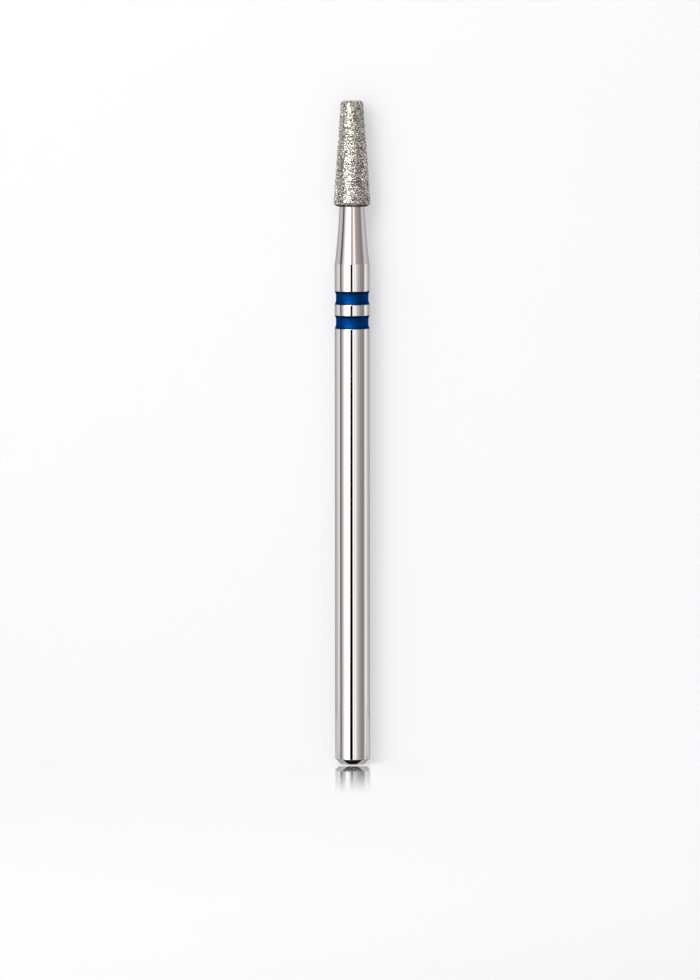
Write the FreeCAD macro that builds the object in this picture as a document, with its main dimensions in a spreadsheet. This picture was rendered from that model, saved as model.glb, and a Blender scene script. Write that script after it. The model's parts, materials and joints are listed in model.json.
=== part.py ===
"""Diamond bur: a turned steel blank, a nickel bond with diamond grit on its tapered head, and two
colour rings in grooves of the shank.

The bur stands on the end of its shank: the origin is the centre of that end face and +Z runs up
the axis to the tip. All sizes are in millimetres.
"""

import FreeCAD, Part

import math
import os
import random

import Sketcher

VECTOR = FreeCAD.Vector
SHEET = "Sizes"

# Driving dimensions: alias, value, what it is.
DIMENSIONS = (
    ("shank_diameter", 2.35, "ground shank, held by the chuck"),
    ("shank_length", 33.6, "from the end face to the shoulder of the neck"),
    ("end_chamfer", 0.34, "45 degree chamfer round the end face"),
    ("neck_length", 3.8, "from the shoulder to the underside of the head"),
    ("neck_root_diameter", 2.31, "neck where it leaves the shank, a hair under the ground size"),
    ("neck_tip_diameter", 1.67, "neck where it enters the head"),
    ("neck_hollow", 0.03, "how far the flare of the neck dips below a straight cone"),
    ("head_length", 7.1, "head from its underside to its tip, grit included"),
    ("head_base_diameter", 2.53, "wide end of the head, grit included"),
    ("head_tip_diameter", 1.53, "flat tip of the head, grit included"),
    ("head_base_round", 0.28, "rounding of the bond at the wide end"),
    ("head_tip_round", 0.18, "rounding of the bond at the tip"),
    ("bond_thickness", 0.09, "nickel over the steel core"),
    ("grain_height", 0.055, "how far the tallest grains stand out of the bond"),
    ("grain_width", 0.125, "across a grain where it leaves the bond"),
    ("grain_gap", 0.05, "bare bond between two grains"),
    ("ring_inset", 1.85, "from the shoulder down to the first colour ring"),
    ("ring_width", 0.88, "one colour ring, along the axis"),
    ("ring_gap", 0.74, "bare steel between two rings"),
    ("ring_dish", 0.088, "dip of a ring's waist below the shank"),
    ("ring_waist", 0.2, "nearly flat stretch at the bottom of the dish"),
    ("ring_thickness", 0.1, "enamel under the waist"),
)
RING_NAMES = ("ring_upper", "ring_lower")
GRAIN_SEED = 107
GOLDEN_ANGLE = math.pi * (3 - math.sqrt(5))


class Term:
    """A number worked out from the sheet, with the expression that binds it to its cells."""

    def __init__(self, value, text):
        self.value = value
        self.text = text

    def __add__(self, other):
        return Term(self.value + other.value, f"({self.text} + {other.text})")

    def __sub__(self, other):
        return Term(self.value - other.value, f"({self.text} - {other.text})")

    def __mul__(self, other):
        return Term(self.value * other.value, f"({self.text} * {other.text})")

    def __truediv__(self, other):
        return Term(self.value / other.value, f"({self.text} / {other.text})")


ZERO = Term(0.0, "0")
TWO = Term(2.0, "2")
EIGHT = Term(8.0, "8")


class Layout:
    """Radii and heights that the pieces share, worked out from the driving dimensions."""

    def __init__(self, sheet):
        size = {alias: Term(float(sheet.get(alias)), f"{SHEET}.{alias}") for alias, _, _ in DIMENSIONS}
        self.size = size
        self.shank_radius = size["shank_diameter"] / TWO
        self.shoulder = size["shank_length"]
        self.root_radius = size["neck_root_diameter"] / TWO
        self.neck_radius = size["neck_tip_diameter"] / TWO
        self.head_foot = self.shoulder + size["neck_length"]
        self.head_top = self.head_foot + size["head_length"]

        # The bond lies one grain's height inside the size over the grit, the core one bond deeper.
        grit = size["grain_height"]
        self.bond_foot = self.head_foot + grit
        self.bond_top = self.head_top - grit
        self.bond_base_radius = size["head_base_diameter"] / TWO - grit
        self.bond_tip_radius = size["head_tip_diameter"] / TWO - grit
        bond = size["bond_thickness"]
        self.core_foot = self.bond_foot + bond
        self.core_top = self.bond_top - bond
        self.core_base_radius = self.bond_base_radius - bond
        self.core_tip_radius = self.bond_tip_radius - bond
        self.core_base_edge = size["head_base_round"] - bond
        self.core_tip_edge = size["head_tip_round"] - bond
        self.core_taper = (self.core_base_radius - self.core_tip_radius) / (self.core_top - self.core_foot)

        self.ring_floor_radius = self.shank_radius - size["ring_dish"] - size["ring_thickness"]
        self.ring_pitch = size["ring_width"] + size["ring_gap"]
        self.first_ring_foot = self.shoulder - size["ring_inset"] - size["ring_width"]

    def core_corners(self):
        """Neck stub and core inside the bond, from the bond's underside up to the axis.

        The core's two edges are chamfered, so that the rounded bond keeps its wall over them.
        """
        base, tip = self.core_base_edge, self.core_tip_edge
        return [
            (self.neck_radius, self.bond_foot),
            (self.neck_radius, self.core_foot),
            (self.core_base_radius - base, self.core_foot),
            (self.core_base_radius - base * self.core_taper, self.core_foot + base),
            (self.core_tip_radius + tip * self.core_taper, self.core_top - tip),
            (self.core_tip_radius - tip, self.core_top),
            (None, self.core_top),
        ]


def origin_part(body, role):
    """The body's own origin plane or axis with that role."""
    return next(part for part in body.Origin.OriginFeatures if part.Role == role)


def sagging_radius(here, there, dip):
    """The radius of an arc whose middle lies one dip off the chord between two corners."""
    across = there[0] - here[0]
    along = there[1] - here[1]
    return (across * across + along * along) / (EIGHT * dip) + dip / TWO


def half_section(body, name, corners, hollows=None):
    """A closed sketch in the body's XZ plane, to be turned round Z.

    corners are (radius, height) lengths in order, a radius of None being on the axis. hollows gives
    the radius of each edge that is an arc hollowed towards the axis.
    """
    hollows = hollows or {}
    sketch = body.newObject("Sketcher::SketchObject", name)
    sketch.AttachmentSupport = [(origin_part(body, "XZ_Plane"), "")]
    sketch.MapMode = "FlatFace"
    points = [VECTOR(radius.value if radius else 0, height.value, 0) for radius, height in corners]
    count = len(points)

    # An arc is drawn counterclockwise, so its first corner can be either of its two ends.
    first, last = {}, {}
    for edge, here in enumerate(points):
        there = points[(edge + 1) % count]
        first[edge], last[edge] = 1, 2
        if edge not in hollows:
            sketch.addGeometry(Part.LineSegment(here, there), False)
            continue
        middle = arc_middle(here, there, hollows[edge].value)
        if (middle - here).cross(there - middle).z < 0:
            here, there = there, here
            first[edge], last[edge] = 2, 1
        sketch.addGeometry(Part.Arc(here, middle, there), False)

    for edge in range(count):
        following = (edge + 1) % count
        joint = Sketcher.Constraint("Coincident", edge, last[edge], following, first[following])
        sketch.addConstraint(joint)
    for edge, (radius, height) in enumerate(corners):
        bind_distance(sketch, "DistanceX", edge, first[edge], radius or ZERO)
        bind_distance(sketch, "DistanceY", edge, first[edge], height)
    for edge, radius in hollows.items():
        index = sketch.addConstraint(Sketcher.Constraint("Radius", edge, radius.value))
        sketch.setExpression(f"Constraints[{index}]", radius.text)
    return sketch


def arc_middle(here, there, radius):
    """The middle of an arc between two corners, on the side of its chord that faces the axis."""
    half_chord = (there - here).Length / 2
    dip = radius - math.sqrt(radius**2 - half_chord**2)
    aside = (there - here).cross(VECTOR(0, 0, 1)).normalize() * dip
    if aside.x > 0:
        aside = aside * -1
    return (here + there) * 0.5 + aside


def bind_distance(sketch, kind, edge, end, length):
    """Holds a corner at a distance from the sketch's origin that follows the sheet."""
    if length.value == 0:
        axis = -2 if kind == "DistanceX" else -1
        sketch.addConstraint(Sketcher.Constraint("PointOnObject", edge, end, axis))
        return
    index = sketch.addConstraint(Sketcher.Constraint(kind, -1, 1, edge, end, length.value))
    sketch.setExpression(f"Constraints[{index}]", length.text)


def turn(body, kind, name, sketch):
    """A full turn of the half section round Z: a Revolution adds it, a Groove cuts it."""
    feature = body.newObject(f"PartDesign::{kind}", name)
    feature.Profile = sketch
    feature.ReferenceAxis = (sketch, ["V_Axis"])
    feature.Angle = 360
    body.Document.recompute()
    return feature


def rim(shape, radius, height):
    """The name of the circular edge with that radius at that height."""
    for index, edge in enumerate(shape.Edges, start=1):
        curve = edge.Curve
        if not isinstance(curve, Part.Circle):
            continue
        same_height = math.isclose(curve.Center.z, height.value, abs_tol=1e-5)
        if same_height and math.isclose(curve.Radius, radius.value, abs_tol=1e-5):
            return f"Edge{index}"
    raise ValueError(f"no rim of radius {radius.value} at height {height.value}")


def edge_finish(body, kind, name, base, edge, size_name, length):
    """A Chamfer or Fillet of one edge, its size bound to the sheet."""
    feature = body.newObject(f"PartDesign::{kind}", name)
    feature.Base = (base, [edge])
    feature.setExpression(size_name, length.text)
    body.Document.recompute()
    return feature


def new_body(doc, label):
    """An empty body whose label names the piece."""
    body = doc.addObject("PartDesign::Body", f"{label}_body")
    body.Label = label
    return body


def make_steel_blank(doc, layout):
    """Shank, neck and head core, turned from one bar, with a groove for each colour ring."""
    body = new_body(doc, "steel_blank")
    size = layout.size
    corners = [
        (None, ZERO),
        (layout.shank_radius, ZERO),
        (layout.shank_radius, layout.shoulder),
        (layout.root_radius, layout.shoulder),
    ]
    neck_edge = len(corners) - 1
    corners += layout.core_corners()
    flare = sagging_radius(corners[neck_edge], corners[neck_edge + 1], size["neck_hollow"])
    outline = half_section(body, "bar_outline", corners, {neck_edge: flare})
    bar = turn(body, "Revolution", "turned_bar", outline)
    end_rim = rim(bar.Shape, layout.shank_radius, ZERO)
    chamfer = edge_finish(body, "Chamfer", "end_chamfer", bar, end_rim, "Size", size["end_chamfer"])

    foot, top = layout.first_ring_foot, layout.first_ring_foot + size["ring_width"]
    seat = half_section(
        body,
        "ring_seat_outline",
        [
            (layout.ring_floor_radius, foot),
            (layout.shank_radius, foot),
            (layout.shank_radius, top),
            (layout.ring_floor_radius, top),
        ],
    )
    groove = turn(body, "Groove", "ring_seat", seat)
    require_cut(chamfer, groove)

    row = body.newObject("PartDesign::LinearPattern", "ring_seats")
    row.Originals = [groove]
    row.Direction = (origin_part(body, "Z_Axis"), [""])
    row.Reversed = True
    row.Occurrences = len(RING_NAMES)
    row.setExpression("Length", f"{layout.ring_pitch.text} * {len(RING_NAMES) - 1}")
    body.Tip = row
    doc.recompute()
    require_cut(groove, row)
    return body


def require_cut(before, after):
    """A cut that removes nothing shows no fault of its own, so the volumes are compared."""
    if after.Shape.Volume >= before.Shape.Volume:
        raise ValueError(f"{after.Name} cuts nothing")


def make_nickel_bond(doc, layout):
    """The plated layer: a cap over the core that also closes in under the head, round the neck."""
    body = new_body(doc, "nickel_bond")
    size = layout.size
    corners = [
        (None, layout.bond_foot),
        (layout.bond_base_radius, layout.bond_foot),
        (layout.bond_tip_radius, layout.bond_top),
        (None, layout.bond_top),
    ]
    plated = turn(body, "Revolution", "plated_form", half_section(body, "plated_outline", corners))
    base_rim = rim(plated.Shape, layout.bond_base_radius, layout.bond_foot)
    base_round = edge_finish(
        body, "Fillet", "base_round", plated, base_rim, "Radius", size["head_base_round"]
    )
    tip_rim = rim(base_round.Shape, layout.bond_tip_radius, layout.bond_top)
    tip_round = edge_finish(
        body, "Fillet", "tip_round", base_round, tip_rim, "Radius", size["head_tip_round"]
    )
    core = half_section(body, "core_outline", [(None, layout.bond_foot)] + layout.core_corners())
    hollow = turn(body, "Groove", "core_hollow", core)
    require_cut(tip_round, hollow)
    return body


def make_ring(doc, label, layout, index):
    """A band of enamel that fills its groove, its outside drawn in to a waist by two hollow sides."""
    body = new_body(doc, label)
    width, waist = layout.size["ring_width"], layout.size["ring_waist"]
    dish = layout.size["ring_dish"]
    side = (width - waist) / TWO
    waist_radius = layout.shank_radius - dish
    corners = [
        (layout.ring_floor_radius, ZERO),
        (layout.shank_radius, ZERO),
        (waist_radius, side),
        (waist_radius, side + waist),
        (layout.shank_radius, width),
        (layout.ring_floor_radius, width),
    ]
    # The sweep makes each side run into the waist, which is itself so slightly hollow that it looks flat.
    sweep = (side * side + dish * dish) / (TWO * dish)
    hollows = {1: sweep, 2: waist * EIGHT, 3: sweep}
    band = half_section(body, f"{label}_outline", corners, hollows)
    turn(body, "Revolution", f"{label}_band", band)
    height = f"{layout.first_ring_foot.text} - {index} * {layout.ring_pitch.text}"
    body.setExpression("Placement.Base.z", height)
    return body


class Outline:
    """The outside of the bond in half section, as short steps that grains can be set out along."""

    STEP = 0.005

    def __init__(self, layout):
        size = layout.size
        lane = size["grain_width"].value / 2
        corners = [
            (layout.neck_radius.value + lane, layout.bond_foot.value, 0),
            (layout.bond_base_radius.value, layout.bond_foot.value, size["head_base_round"].value),
            (layout.bond_tip_radius.value, layout.bond_top.value, size["head_tip_round"].value),
            (0, layout.bond_top.value, 0),
        ]
        self.steps = []
        here = corners[0][:2]
        for before, corner, after in zip(corners, corners[1:], corners[2:]):
            here = self.add_corner(here, before, corner, after)
        self.add_line(here, corners[-1][:2])

    def add_corner(self, here, before, corner, after):
        """A straight run up to a corner, then the arc that rounds it. Returns the arc's end."""
        heading_in = math.atan2(corner[1] - before[1], corner[0] - before[0])
        heading_out = math.atan2(after[1] - corner[1], after[0] - corner[0])
        radius = corner[2]
        cut = radius * math.tan((heading_out - heading_in) / 2)
        start = (corner[0] - cut * math.cos(heading_in), corner[1] - cut * math.sin(heading_in))
        self.add_line(here, start)
        centre = (start[0] - radius * math.sin(heading_in), start[1] + radius * math.cos(heading_in))
        count = max(2, round(radius * (heading_out - heading_in) / self.STEP))
        for number in range(count):
            heading = heading_in + (number + 0.5) / count * (heading_out - heading_in)
            length = radius * (heading_out - heading_in) / count
            place = (centre[0] + radius * math.sin(heading), centre[1] - radius * math.cos(heading))
            self.add_step(place, heading, length)
        return (
            centre[0] + radius * math.sin(heading_out),
            centre[1] - radius * math.cos(heading_out),
        )

    def add_line(self, start, end):
        """A straight run as equal steps."""
        run = math.dist(start, end)
        heading = math.atan2(end[1] - start[1], end[0] - start[0])
        count = max(1, round(run / self.STEP))
        for number in range(count):
            share = (number + 0.5) / count
            place = (
                start[0] + share * (end[0] - start[0]),
                start[1] + share * (end[1] - start[1]),
            )
            self.add_step(place, heading, run / count)

    def add_step(self, place, heading, length):
        """One step: where it is, which way it heads and how much surface it sweeps in a turn."""
        self.steps.append((place, heading, 2 * math.pi * place[0] * length))

    def places(self, area_each):
        """Places that share the surface evenly, each with its area, as (radius, height, heading)."""
        found = []
        covered = 0
        for (radius, height), heading, area in self.steps:
            covered += area
            while covered > (len(found) + 0.5) * area_each:
                found.append((radius, height, heading))
        return found


def make_grain(point, out, along, size, rng):
    """A crystal corner that stands on the bond: a blunt pyramid of three or four uneven sides."""
    across = out.cross(along)
    sides = rng.choice((3, 3, 4))
    turned = rng.uniform(0, 2 * math.pi)
    reach = size["grain_width"].value / 2
    foot = []
    for side in range(sides):
        angle = turned + (side + rng.uniform(-0.16, 0.16)) * 2 * math.pi / sides
        radius = reach * rng.uniform(0.82, 1)
        foot.append(point + along * (radius * math.cos(angle)) + across * (radius * math.sin(angle)))
    lean = reach * rng.uniform(0, 0.5)
    lean_angle = rng.uniform(0, 2 * math.pi)
    peak = point + out * (size["grain_height"].value * rng.uniform(0.6, 1))
    peak += along * (lean * math.cos(lean_angle)) + across * (lean * math.sin(lean_angle))

    faces = [Part.Face(Part.makePolygon(foot + foot[:1]))]
    for here, there in zip(foot, foot[1:] + foot[:1]):
        faces.append(Part.Face(Part.makePolygon([here, there, peak, here])))
    solid = Part.Solid(Part.Shell(faces))
    if solid.Volume < 0:
        solid.reverse()
    return solid


def make_diamond_grains(doc, layout):
    """The grit: separate crystals over the whole bond, each seated on it by the middle of its foot.

    They follow a spiral of golden angles, which spaces them evenly, and each is then moved a little.
    """
    size = layout.size
    rng = random.Random(GRAIN_SEED)
    spacing = size["grain_width"].value + size["grain_gap"].value
    shift = size["grain_gap"].value / 2
    grains = []
    for number, (radius, height, heading) in enumerate(Outline(layout).places(spacing**2)):
        nudge = rng.uniform(-shift, shift) / max(radius, spacing)
        angle = number * GOLDEN_ANGLE + nudge
        aside = VECTOR(math.cos(angle), math.sin(angle), 0)
        point = aside * radius + VECTOR(0, 0, height)
        along = aside * math.cos(heading) + VECTOR(0, 0, math.sin(heading))
        out = aside * math.sin(heading) - VECTOR(0, 0, math.cos(heading))
        grains.append(make_grain(point, out, along, size, rng))
    feature = doc.addObject("Part::Feature", "diamond_grains_group")
    feature.Label = "diamond_grains"
    feature.Shape = Part.makeCompound(grains)
    feature.Placement = FreeCAD.Placement()
    return feature


def check(doc, pieces):
    """Stops the build if any object failed or any piece has no sound shape."""
    for item in doc.Objects:
        if {"Invalid", "Error"} & set(item.State):
            raise ValueError(f"{item.Name} failed: {item.State}")
    for piece in pieces:
        if piece.Shape.isNull() or not piece.Shape.isValid():
            raise ValueError(f"{piece.Label} has no sound shape")


def main():
    doc = FreeCAD.newDocument("diamond_bur")
    sheet = doc.addObject("Spreadsheet::Sheet", SHEET)
    for row, (alias, value, meaning) in enumerate(DIMENSIONS, start=1):
        sheet.set(f"A{row}", meaning)
        sheet.set(f"B{row}", str(value))
        sheet.setAlias(f"B{row}", alias)
    doc.recompute()

    layout = Layout(sheet)
    pieces = [
        make_steel_blank(doc, layout),
        make_nickel_bond(doc, layout),
        make_diamond_grains(doc, layout),
    ]
    for index, label in enumerate(RING_NAMES):
        pieces.append(make_ring(doc, label, layout, index))
    doc.recompute()
    check(doc, pieces)

    os.makedirs("parts", exist_ok=True)
    for piece in pieces:
        piece.Shape.exportStep(f"parts/{piece.Label}.step")
        box = piece.Shape.optimalBoundingBox()
        print(
            f"{piece.Label}: {len(piece.Shape.Solids)} solids, {piece.Shape.Volume:.4f} mm3, "
            f"radius {box.XMax:.3f}, z {box.ZMin:.3f} to {box.ZMax:.3f}"
        )


main()
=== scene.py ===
"""Diamond bur: polished steel, blue enamel rings and a grit-coated head, in a plain light studio.

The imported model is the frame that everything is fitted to. Lengths are in metres, +Z runs up the
bur's axis from the end of its shank to its tip, and the camera looks along +Y.
"""

import json
import logging
import math
import random
from dataclasses import dataclass, field
from enum import Enum

import bmesh
import bpy
from mathutils import Euler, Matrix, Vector

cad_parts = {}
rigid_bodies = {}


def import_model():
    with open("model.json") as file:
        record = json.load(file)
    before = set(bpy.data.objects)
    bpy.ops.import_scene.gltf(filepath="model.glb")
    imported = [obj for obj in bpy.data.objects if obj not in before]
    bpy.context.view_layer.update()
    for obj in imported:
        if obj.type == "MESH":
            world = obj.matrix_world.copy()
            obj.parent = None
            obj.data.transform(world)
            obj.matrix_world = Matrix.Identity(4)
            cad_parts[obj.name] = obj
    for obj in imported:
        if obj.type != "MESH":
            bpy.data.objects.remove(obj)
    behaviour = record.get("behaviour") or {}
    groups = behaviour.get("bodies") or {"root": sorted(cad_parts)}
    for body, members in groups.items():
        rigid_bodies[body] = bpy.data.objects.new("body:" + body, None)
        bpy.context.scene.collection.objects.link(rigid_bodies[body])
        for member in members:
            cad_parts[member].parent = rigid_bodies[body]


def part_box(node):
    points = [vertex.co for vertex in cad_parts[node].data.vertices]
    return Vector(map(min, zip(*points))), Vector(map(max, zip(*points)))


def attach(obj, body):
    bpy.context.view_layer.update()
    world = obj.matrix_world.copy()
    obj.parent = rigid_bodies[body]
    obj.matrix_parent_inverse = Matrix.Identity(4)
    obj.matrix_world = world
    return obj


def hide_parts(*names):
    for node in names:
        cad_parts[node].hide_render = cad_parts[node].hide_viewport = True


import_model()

LOG = logging.getLogger("diamond_bur")
MM = 0.001
BODY = "root"

Point = tuple[float, float]
Colour = tuple[float, float, float]


class Slot(Enum):
    """The record's material slots."""

    STEEL = "steel"
    NICKEL = "nickel"
    DIAMOND = "diamond"
    ENAMEL = "blue_enamel"


# Outlines of turned pieces


class Outline:
    """A half section drawn corner by corner, as (radius, height) points from the axis outwards."""

    def __init__(self) -> None:
        """Starts an empty outline."""
        self.corners: list[tuple[float, float, float]] = []

    def to(self, radius: float, height: float, rounding: float = 0.0) -> "Outline":
        """Adds a corner.

        Args:
            radius: distance from the axis.
            height: height over the end of the shank.
            rounding: radius of the arc that replaces the corner, or 0.

        Returns:
            The outline itself, so that corners can be chained.
        """
        self.corners.append((radius, height, rounding))
        return self

    def hollow(self, radius: float, height: float, dip: float, steps: int) -> "Outline":
        """Adds a shallow arc from the last corner to a new one, its middle nearer the axis.

        Args:
            radius: the new corner's distance from the axis.
            height: the new corner's height.
            dip: how far the middle of the arc lies off its chord.
            steps: straight steps along the arc.

        Returns:
            The outline itself.
        """
        start_radius, start_height, _ = self.corners[-1]
        for step in range(1, steps + 1):
            share = step / steps
            sag = 4 * dip * share * (1 - share)
            across = start_radius + share * (radius - start_radius) - sag
            self.to(across, start_height + share * (height - start_height))
        return self

    def points(self, steps: int = 5) -> list[Point]:
        """The outline with its rounded corners drawn out.

        Args:
            steps: straight steps in each rounded corner.

        Returns:
            The (radius, height) points in order.
        """
        drawn: list[Point] = []
        last = len(self.corners) - 1
        for index, (radius, height, rounding) in enumerate(self.corners):
            if rounding == 0 or index in (0, last):
                drawn.append((radius, height))
                continue
            before = Vector(self.corners[index - 1][:2])
            after = Vector(self.corners[index + 1][:2])
            drawn += rounded_corner(before, Vector((radius, height)), after, rounding, steps)
        return drawn


def rounded_corner(before: Vector, corner: Vector, after: Vector, radius: float, steps: int) -> list[Point]:
    """The arc that rounds one corner, with a point on each run just before and after it.

    Those two keep the runs' shading straight.

    Args:
        before: the corner before it.
        corner: the corner to round.
        after: the corner after it.
        radius: radius of the arc.
        steps: straight steps along the arc.

    Returns:
        The points from the end of one run to the start of the next.
    """
    inward = (corner - before).normalized()
    outward = (after - corner).normalized()
    turn = inward.angle_signed(outward)
    reach = radius * math.tan(abs(turn) / 2)
    start = corner - inward * reach
    side = 1 if turn > 0 else -1
    centre = start + Vector((inward.y, -inward.x)) * radius * side
    arm = start - centre
    found = [tuple(start - inward * radius * 0.2)]
    for step in range(steps + 1):
        angle = -turn * step / steps
        cosine, sine = math.cos(angle), math.sin(angle)
        found.append((centre.x + arm.x * cosine - arm.y * sine, centre.y + arm.x * sine + arm.y * cosine))
    found.append(tuple(corner + outward * (reach + radius * 0.2)))
    return found


def turned_mesh(
    name: str, outline: list[Point], segments: int, crease_deg: float = 25.0
) -> bpy.types.Object:
    """A closed mesh of revolution round Z, smooth apart from its turned edges.

    Args:
        name: name of the object.
        outline: closed half section; points on the axis have a radius of 0.
        segments: faces round the axis.
        crease_deg: a corner of the outline that turns more than this stays sharp.

    Returns:
        The object, linked to the scene, with its place in its mesh.
    """
    mesh = bpy.data.meshes.new(name)
    work = bmesh.new()
    rows: list[list[bmesh.types.BMVert]] = []
    for radius, height in outline:
        if radius < 1e-9:
            rows.append([work.verts.new((0, 0, height))])
            continue
        row = []
        for segment in range(segments):
            angle = 2 * math.pi * segment / segments
            row.append(work.verts.new((radius * math.cos(angle), radius * math.sin(angle), height)))
        rows.append(row)
    for low, high in zip(rows, rows[1:] + rows[:1]):
        for segment in range(segments):
            join_rows(work, low, high, segment)
    bmesh.ops.recalc_face_normals(work, faces=work.faces)
    for edge in work.edges:
        edge.smooth = edge.calc_face_angle(0.0) < math.radians(crease_deg)
    for face in work.faces:
        face.smooth = True
    work.to_mesh(mesh)
    work.free()
    piece = bpy.data.objects.new(name, mesh)
    bpy.context.scene.collection.objects.link(piece)
    return piece


def join_rows(work: bmesh.types.BMesh, low: list, high: list, segment: int) -> None:
    """One face between two rows of a turned mesh; a row of one vertex is a pole.

    Args:
        work: the mesh being built.
        low: vertices of one row.
        high: vertices of the next row.
        segment: which face round the axis.
    """
    if len(low) == 1 and len(high) == 1:
        return
    here = segment
    there = (segment + 1) % max(len(low), len(high))
    if len(low) == 1:
        work.faces.new((low[0], high[there], high[here]))
    elif len(high) == 1:
        work.faces.new((low[here], low[there], high[0]))
    else:
        work.faces.new((low[here], low[there], high[there], high[here]))


# Shader building


class Shader:
    """A material's node tree, with short ways to add and join nodes."""

    def __init__(self, tree: bpy.types.NodeTree) -> None:
        """Takes the node tree to build in."""
        self.tree = tree

    def add(self, kind: str, **settings) -> bpy.types.Node:
        """Adds a node.

        Args:
            kind: the node's type name, without the ShaderNode prefix.
            settings: attributes of the node to set.

        Returns:
            The new node.
        """
        node = self.tree.nodes.new(f"ShaderNode{kind}")
        for key, value in settings.items():
            setattr(node, key, value)
        return node

    def link(self, start: bpy.types.NodeSocket, end: bpy.types.NodeSocket) -> None:
        """Joins an output to an input."""
        self.tree.links.new(start, end)

    def feed(self, node: bpy.types.Node, **values) -> bpy.types.Node:
        """Sets or joins a node's inputs.

        Args:
            node: the node.
            values: input name with underscores for spaces; a socket is joined, a value is set.

        Returns:
            The node.
        """
        for key, value in values.items():
            socket = node.inputs[key.replace("_", " ")]
            if isinstance(value, bpy.types.NodeSocket):
                self.link(value, socket)
            else:
                socket.default_value = value
        return node

    def place(self, socket: bpy.types.NodeSocket, value) -> None:
        """Joins a socket to an input, or sets the input to a plain value or colour."""
        if isinstance(value, bpy.types.NodeSocket):
            self.link(value, socket)
        else:
            socket.default_value = (*value, 1.0) if isinstance(value, tuple) else value

    def compute(self, operation: str, first, second=0.0, third=0.0, clamp: bool = False):
        """Works out a number.

        Args:
            operation: the Math node's operation.
            first: socket or number.
            second: socket or number.
            third: socket or number, for operations that take three.
            clamp: whether the result is held between 0 and 1.

        Returns:
            The result's socket.
        """
        node = self.add("Math", operation=operation, use_clamp=clamp)
        for socket, value in zip(node.inputs, (first, second, third)):
            self.place(socket, value)
        return node.outputs[0]

    def combine(self, operation: str, first, second=(0.0, 0.0, 0.0)) -> bpy.types.NodeSocket:
        """Works out a vector.

        Args:
            operation: the Vector Math node's operation.
            first: socket or vector.
            second: socket or vector.

        Returns:
            The result's socket.
        """
        node = self.add("VectorMath", operation=operation)
        for socket, value in zip(node.inputs, (first, second)):
            if isinstance(value, bpy.types.NodeSocket):
                self.link(value, socket)
            else:
                socket.default_value = value
        return node.outputs[0]

    def axes(self) -> bpy.types.bpy_prop_collection:
        """The X, Y and Z of the Object coordinates, as sockets by name."""
        parts = self.add("SeparateXYZ")
        self.link(self.add("TexCoord").outputs["Object"], parts.inputs[0])
        return parts.outputs

    def ramp(self, value: bpy.types.NodeSocket, low: float, high: float, start, end, kind="SMOOTHSTEP"):
        """Maps one range of a value onto another.

        Args:
            value: the socket to read.
            low: lower end of the range read.
            high: upper end of the range read.
            start: result at the lower end, a socket or number.
            end: result at the upper end, a socket or number.
            kind: SMOOTHSTEP or LINEAR.

        Returns:
            The output socket.
        """
        node = self.add("MapRange", interpolation_type=kind)
        self.feed(node, Value=value, From_Min=low, From_Max=high, To_Min=start, To_Max=end)
        return node.outputs["Result"]

    def blend(self, factor, first, second) -> bpy.types.NodeSocket:
        """Mixes two colours.

        Args:
            factor: socket or number, 0 for the first colour.
            first: colour or socket.
            second: colour or socket.

        Returns:
            The mixed colour's socket.
        """
        node = self.add("Mix", data_type="RGBA")
        for socket, value in ((node.inputs[0], factor), (node.inputs[6], first), (node.inputs[7], second)):
            self.place(socket, value)
        return node.outputs[2]

    def layer(self, factor, first: bpy.types.NodeSocket, second: bpy.types.NodeSocket):
        """Mixes two shaders.

        Args:
            factor: socket or number, 0 for the first shader.
            first: shader socket.
            second: shader socket.

        Returns:
            The mixed shader's socket.
        """
        node = self.add("MixShader")
        for socket, value in zip(node.inputs, (factor, first, second)):
            self.place(socket, value)
        return node.outputs[0]


def new_material(name: str) -> tuple[bpy.types.Material, Shader, bpy.types.Node]:
    """An empty node material with its surface output.

    Args:
        name: name of the material.

    Returns:
        The material, its shader builder and the output node.
    """
    material = bpy.data.materials.new(name)
    material.use_nodes = True
    material.node_tree.nodes.clear()
    shader = Shader(material.node_tree)
    return material, shader, shader.add("OutputMaterial")


def speckle_group() -> bpy.types.NodeTree:
    """A value that wanders over the surface at one grain size, for stains, mottle and fine pits.

    Returns:
        The node group, with inputs Vector, Scale, Stretch and Contrast and outputs Value and Fine.
    """
    name = "speckle"
    if name in bpy.data.node_groups:
        return bpy.data.node_groups[name]
    tree = bpy.data.node_groups.new(name, "ShaderNodeTree")
    tree.interface.new_socket("Vector", in_out="INPUT", socket_type="NodeSocketVector")
    for label, value in (("Scale", 1000.0), ("Stretch", 1.0), ("Contrast", 1.0)):
        socket = tree.interface.new_socket(label, in_out="INPUT", socket_type="NodeSocketFloat")
        socket.default_value = value
    for label in ("Value", "Fine"):
        tree.interface.new_socket(label, in_out="OUTPUT", socket_type="NodeSocketFloat")
    build = Shader(tree)
    source = tree.nodes.new("NodeGroupInput")
    result = tree.nodes.new("NodeGroupOutput")

    squeeze = build.add("CombineXYZ")
    build.feed(squeeze, X=1.0, Y=1.0, Z=source.outputs["Stretch"])
    placed = build.combine("MULTIPLY", source.outputs["Vector"], squeeze.outputs[0])
    broad = build.add("TexNoise")
    build.feed(broad, Vector=placed, Scale=source.outputs["Scale"], Detail=3.0, Roughness=0.6)
    finer = build.compute("MULTIPLY", source.outputs["Scale"], 6.0)
    fine = build.add("TexNoise")
    build.feed(fine, Vector=placed, Scale=finer, Detail=2.0, Roughness=0.5)

    for noise, label in ((broad, "Value"), (fine, "Fine")):
        centred = build.compute("SUBTRACT", noise.outputs["Fac"], 0.5)
        spread = build.compute("MULTIPLY_ADD", centred, source.outputs["Contrast"], 0.5, clamp=True)
        build.link(spread, result.inputs[label])
    return tree


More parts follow.
